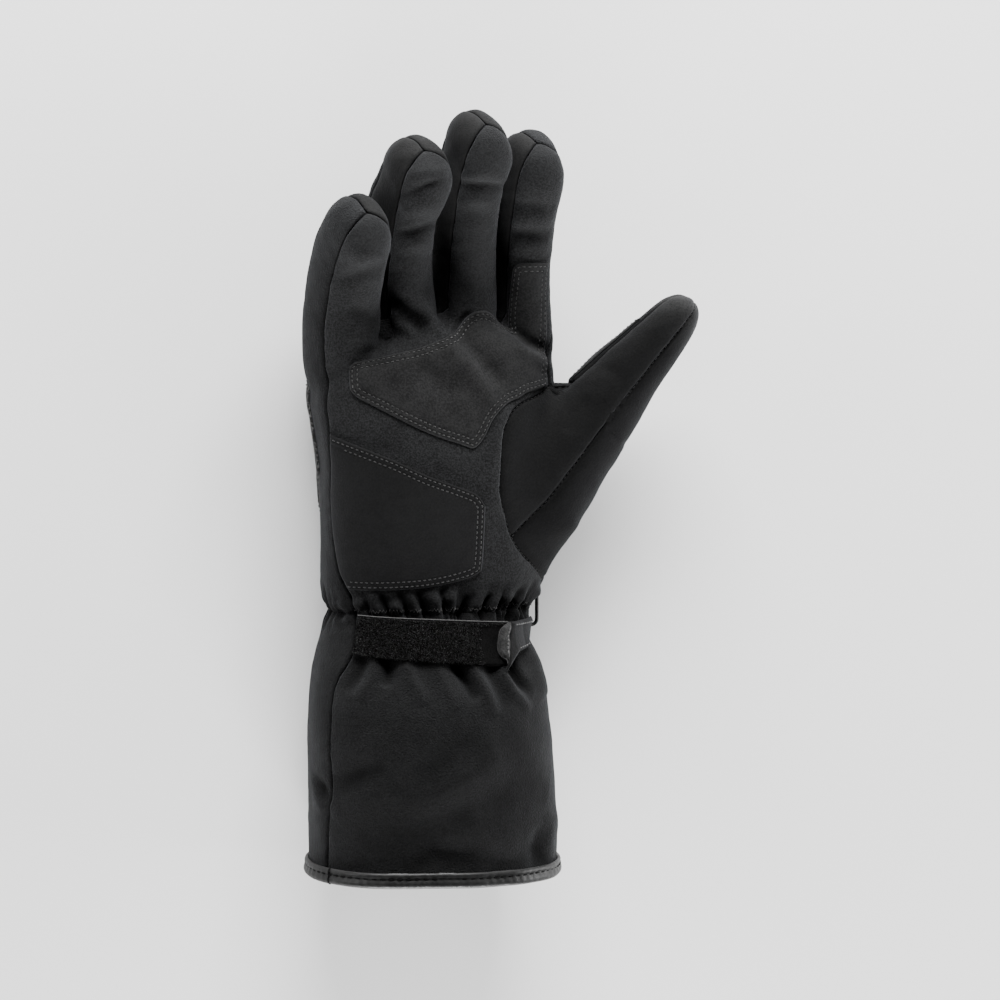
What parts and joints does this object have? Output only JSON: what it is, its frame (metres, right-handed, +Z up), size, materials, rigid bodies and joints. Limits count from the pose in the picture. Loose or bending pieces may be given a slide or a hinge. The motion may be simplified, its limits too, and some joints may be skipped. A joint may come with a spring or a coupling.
{
  "type": "motorcycle glove",
  "caption": "Right-hand winter motorcycle gauntlet glove, palm up: curved hollow fingers, palm patches, elastic wrist with strap, long open cuff with bound hem.",
  "frame": {"origin": "on the flat underside of the padded piece over the back of the hand, which the glove rests on, under the middle of the palm", "axes": "+Y from the cuff to the fingertips, +X to the thumb side, +Z up out of the palm"},
  "size_m": [0.1642, 0.3092, 0.0722],
  "materials": {
    "palm_shell": "matt softshell",
    "back_shell": "matt softshell",
    "cuff_shell": "matt softshell",
    "side_strip": "matt stretch cloth",
    "thumb_shell": "matt suede",
    "patch": "matt suede",
    "overlay": "satin leather",
    "pile": "brushed loop pile",
    "binding": "semi-gloss coated leather",
    "ring": "black plated wire"
  },
  "bodies": {
    "root": {"palm_panel": "palm_shell", "back_panel": "back_shell", "pinky_front": "palm_shell", "ring_front": "palm_shell", "middle_front": "palm_shell", "index_front": "palm_shell", "pinky_back": "back_shell", "ring_back": "back_shell", "middle_back": "back_shell", "index_back": "back_shell", "fourchette_ring_pinky": "side_strip", "fourchette_middle_ring": "side_strip", "fourchette_index_middle": "side_strip", "thumb_palm_panel": "thumb_shell", "thumb_outer_panel": "thumb_shell", "cuff_palm_panel": "cuff_shell", "cuff_back_panel": "cuff_shell", "palm_patch": "patch", "heel_patch": "patch", "thumb_edge_patch": "patch", "wrist_strap": "pile", "strap_tab": "patch", "knuckle_overlay": "overlay", "hem_binding": "binding", "strap_ring": "ring"}
  },
  "joints": []
}
